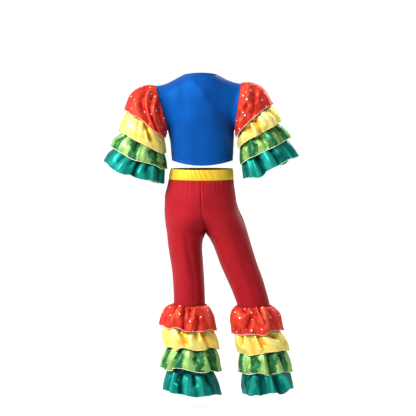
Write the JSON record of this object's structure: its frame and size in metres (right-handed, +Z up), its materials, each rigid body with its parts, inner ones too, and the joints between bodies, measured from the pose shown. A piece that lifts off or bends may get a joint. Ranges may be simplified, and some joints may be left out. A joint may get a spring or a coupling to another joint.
{
  "type": "rumba dance costume",
  "caption": "Child's rumba costume: cropped satin top and long trousers, sleeves and legs ending in stacked gathered ruffles.",
  "frame": {"origin": "between the shoulder tips, where the top hangs from the wearer's shoulders", "axes": "+Z up; the front of the garment faces -Y; +X is the wearer's left"},
  "size_m": [0.6532, 0.2003, 1.0827],
  "materials": {
    "blue_satin": "satin-faced stretch knit",
    "trouser_red": "matte satin-faced stretch knit",
    "waistband_yellow": "soft satin casing over elastic",
    "red_ruffle": "satin with small white dots",
    "yellow_ruffle": "satin",
    "green_ruffle": "satin with melon-rind stripes",
    "teal_ruffle": "satin"
  },
  "bodies": {
    "root": {"top_back": "blue_satin", "top_front": "blue_satin", "sleeve_left": "blue_satin", "sleeve_left_tier_1_red": "red_ruffle", "sleeve_left_tier_2_yellow": "yellow_ruffle", "sleeve_left_tier_3_green": "green_ruffle", "sleeve_left_tier_4_teal": "teal_ruffle", "sleeve_right": "blue_satin", "sleeve_right_tier_1_red": "red_ruffle", "sleeve_right_tier_2_yellow": "yellow_ruffle", "sleeve_right_tier_3_green": "green_ruffle", "sleeve_right_tier_4_teal": "teal_ruffle", "waistband": "waistband_yellow", "trousers_left_back": "trouser_red", "trousers_left_front": "trouser_red", "leg_left_tier_1_red": "red_ruffle", "leg_left_tier_2_yellow": "yellow_ruffle", "leg_left_tier_3_green": "green_ruffle", "leg_left_tier_4_teal": "teal_ruffle", "trousers_right_back": "trouser_red", "trousers_right_front": "trouser_red", "leg_right_tier_1_red": "red_ruffle", "leg_right_tier_2_yellow": "yellow_ruffle", "leg_right_tier_3_green": "green_ruffle", "leg_right_tier_4_teal": "teal_ruffle"}
  },
  "joints": []
}
